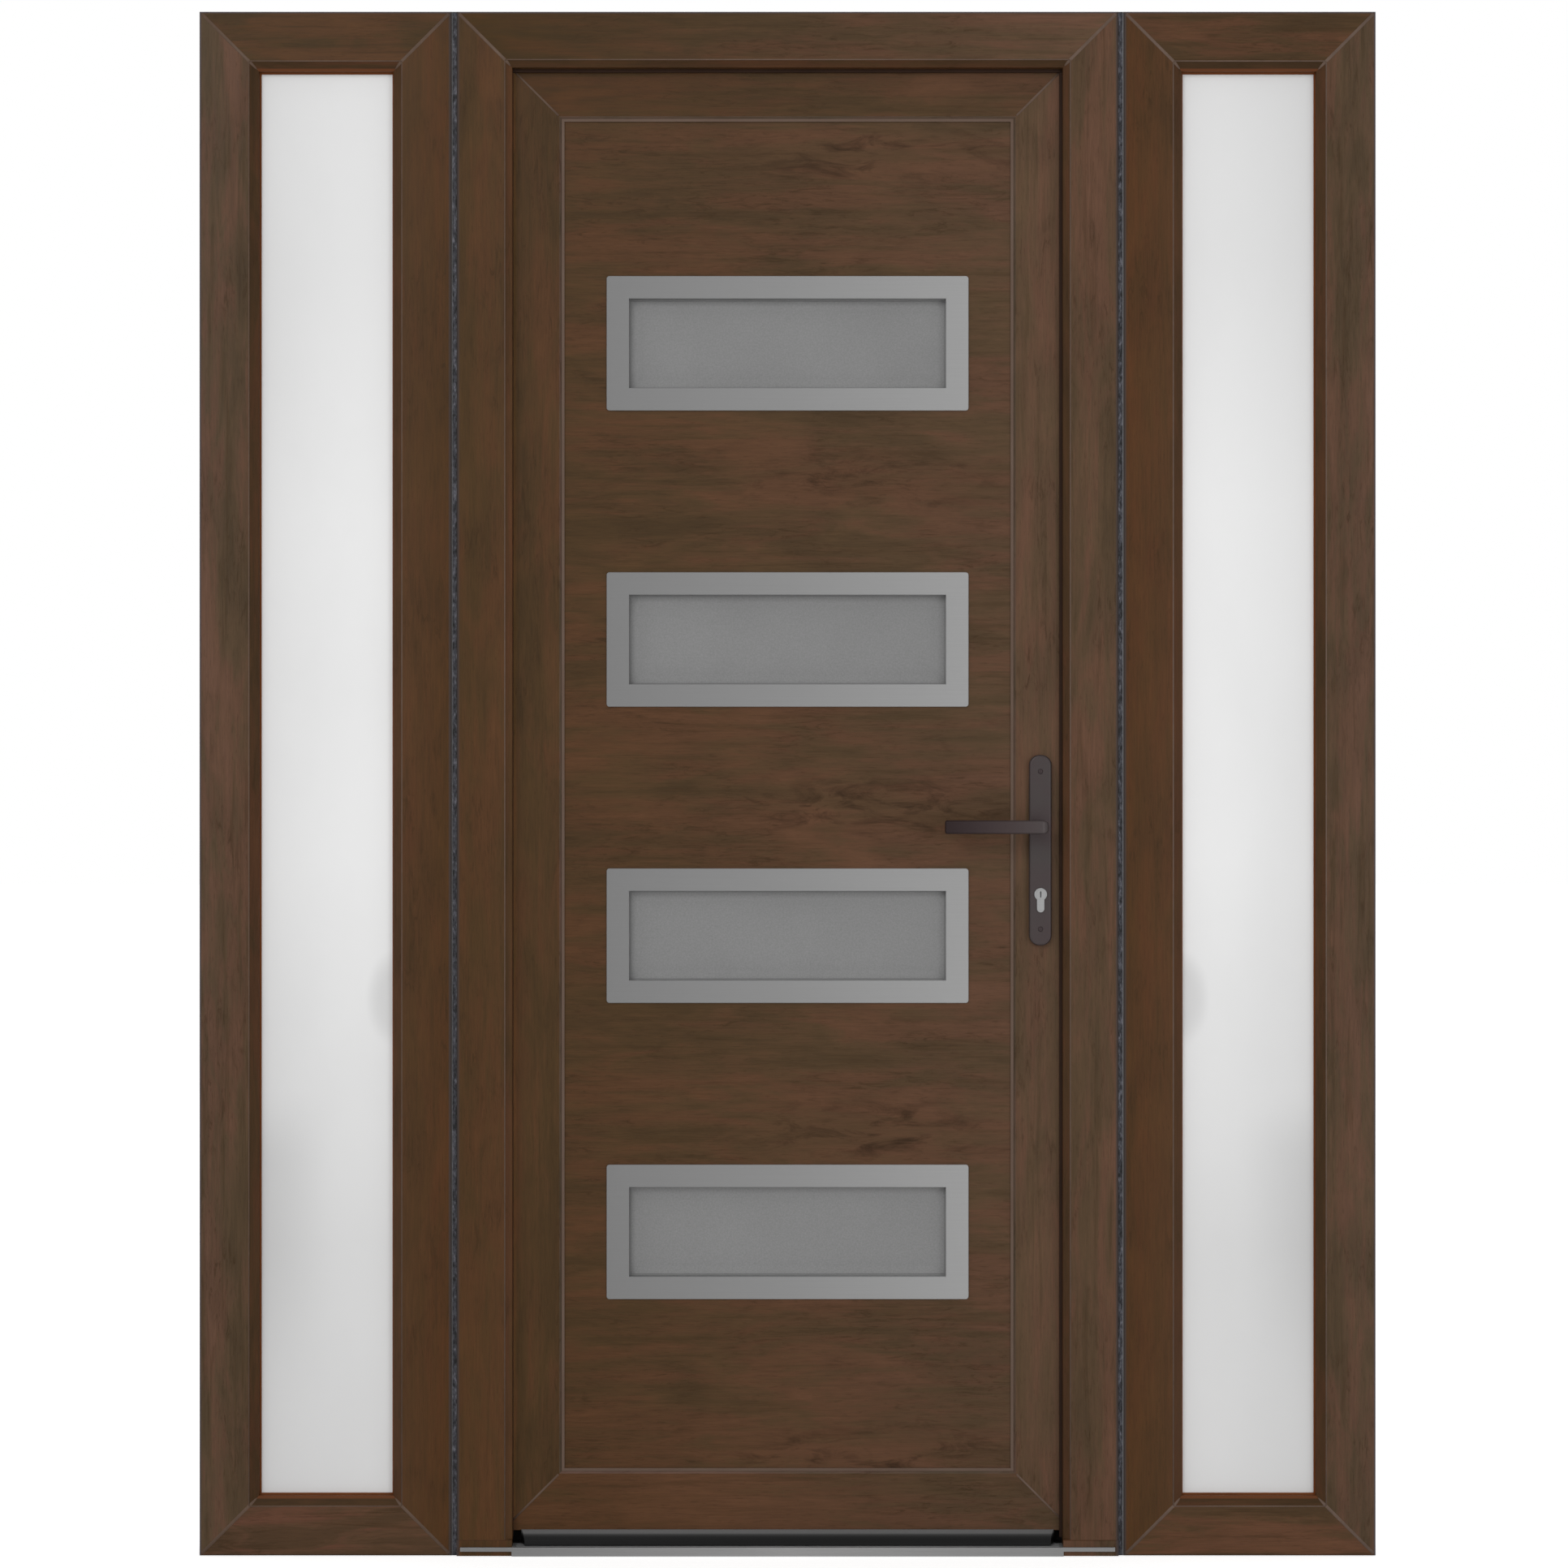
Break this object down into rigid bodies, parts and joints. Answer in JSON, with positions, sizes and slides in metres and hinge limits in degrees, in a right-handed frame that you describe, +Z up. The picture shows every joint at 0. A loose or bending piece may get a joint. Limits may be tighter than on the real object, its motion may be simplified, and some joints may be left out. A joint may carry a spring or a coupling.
{
  "type": "exterior door",
  "caption": "Walnut-grain exterior door leaf with satin glass windows, hinged in its frame between two tall fixed side-lights, on a low metal threshold.",
  "frame": {"origin": "on the floor under the middle of the set, at the middle of the frame's depth", "axes": "+X to the right seen from outside, +Y into the house, +Z up"},
  "size_m": [1.6, 0.1776, 2.1],
  "materials": {
    "walnut_upright": "walnut-grain foil on plastic profiles, satin, grain upright",
    "walnut_level": "walnut-grain foil on plastic profiles, satin, grain level",
    "walnut_panel": "walnut-grain foil on plastic profiles, satin, grain level",
    "frosted_glass": "sealed unit, lightly frosted",
    "satin_glass": "sealed unit, satin grey",
    "caramel_seal": "caramel glazing gasket",
    "taupe_seal": "taupe glazing gasket",
    "black_rubber": "matt black seal",
    "dark_coupler": "dark grey, grained",
    "threshold_metal": "extruded, anodised",
    "black_plastic": "black, satin",
    "trim_steel": "fine satin brushed",
    "handle_bronze": "dark bronze, satin",
    "lock_steel": "zinc grey",
    "hinge_metal": "dark brown, satin",
    "cylinder_nickel": "satin nickel",
    "plug_nickel": "satin nickel"
  },
  "bodies": {
    "frame_set": {"left_light_outer_jamb": "walnut_upright", "left_light_inner_jamb": "walnut_upright", "left_light_head": "walnut_level", "left_light_sill": "walnut_level", "left_light_glass": "frosted_glass", "left_light_beads": "walnut_upright", "right_light_outer_jamb": "walnut_upright", "right_light_inner_jamb": "walnut_upright", "right_light_head": "walnut_level", "right_light_sill": "walnut_level", "right_light_glass": "frosted_glass", "right_light_beads": "walnut_upright", "light_gaskets": "caramel_seal", "couplers": "dark_coupler", "hinge_jamb": "walnut_upright", "lock_jamb": "walnut_upright", "frame_head": "walnut_level", "threshold": "threshold_metal", "threshold_core": "black_plastic", "threshold_blocks": "walnut_upright", "frame_gasket": "black_rubber", "strike_plate": "lock_steel", "hinge_brackets": "hinge_metal"},
    "door_leaf": {"hinge_stile": "walnut_upright", "lock_stile": "walnut_upright", "top_rail": "walnut_level", "bottom_rail": "walnut_level", "door_panel": "walnut_panel", "panel_gasket": "taupe_seal", "panel_beads": "walnut_upright", "window_glass": "satin_glass", "window_seals": "black_rubber", "window_trims_outside": "trim_steel", "window_trims_inside": "trim_steel", "drip_bar": "black_plastic", "bottom_seal": "black_rubber", "leaf_gasket": "black_rubber", "door_lock": "lock_steel", "lock_cylinder": "cylinder_nickel", "handle_plate_outside": "handle_bronze", "handle_plate_inside": "handle_bronze", "hinge_leaves": "hinge_metal"},
    "handle": {"lever_outside": "handle_bronze", "lever_inside": "handle_bronze", "spindle": "lock_steel"},
    "key_plug": {"key_plug": "plug_nickel"}
  },
  "joints": [
    {"name": "door_hinge", "type": "hinge", "parent": "frame_set", "child": "door_leaf", "pos_m": [-0.4185, 0.067, 1.05], "axis": [0, 0, 1], "range_deg": [0, 100]},
    {"name": "lever_turn", "type": "hinge", "parent": "door_leaf", "child": "handle", "pos_m": [0.345, 0.023, 0.991], "axis": [0, -1, 0], "range_deg": [0, 40], "stiffness_Nm_per_rad": 1.5, "springref_deg": -22.92},
    {"name": "key_turn", "type": "hinge", "parent": "door_leaf", "child": "key_plug", "pos_m": [0.345, -0.01, 0.899], "axis": [0, -1, 0], "continuous": true}
  ]
}
